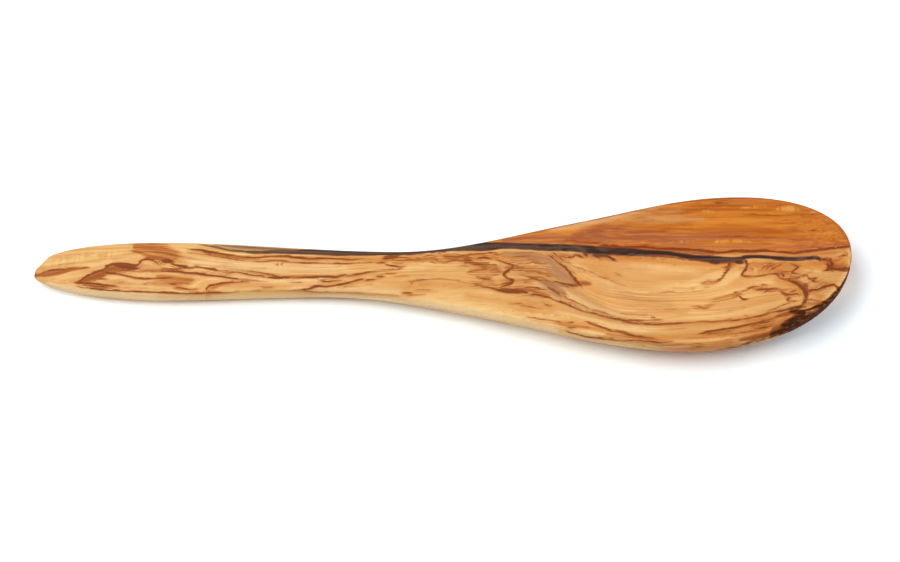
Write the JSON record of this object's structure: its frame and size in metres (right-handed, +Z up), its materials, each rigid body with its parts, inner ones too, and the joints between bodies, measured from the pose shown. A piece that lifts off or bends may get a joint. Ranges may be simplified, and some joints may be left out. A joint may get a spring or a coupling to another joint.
{
  "type": "spoon",
  "caption": "Carved one-piece olive-wood cooking spoon with a skewed teardrop bowl, a shallow hollow and a flat handle that tapers to a blunt point.",
  "frame": {"origin": "on the surface that the spoon lies on, under the middle of its box", "axes": "+X from the handle's tip to the bowl's tip, +Y towards the straighter long edge, +Z up out of the hollow"},
  "size_m": [0.2996, 0.0636, 0.0169],
  "materials": {
    "olive_wood": "sanded and oiled, satin"
  },
  "bodies": {
    "root": {"spoon": "olive_wood"}
  },
  "joints": []
}
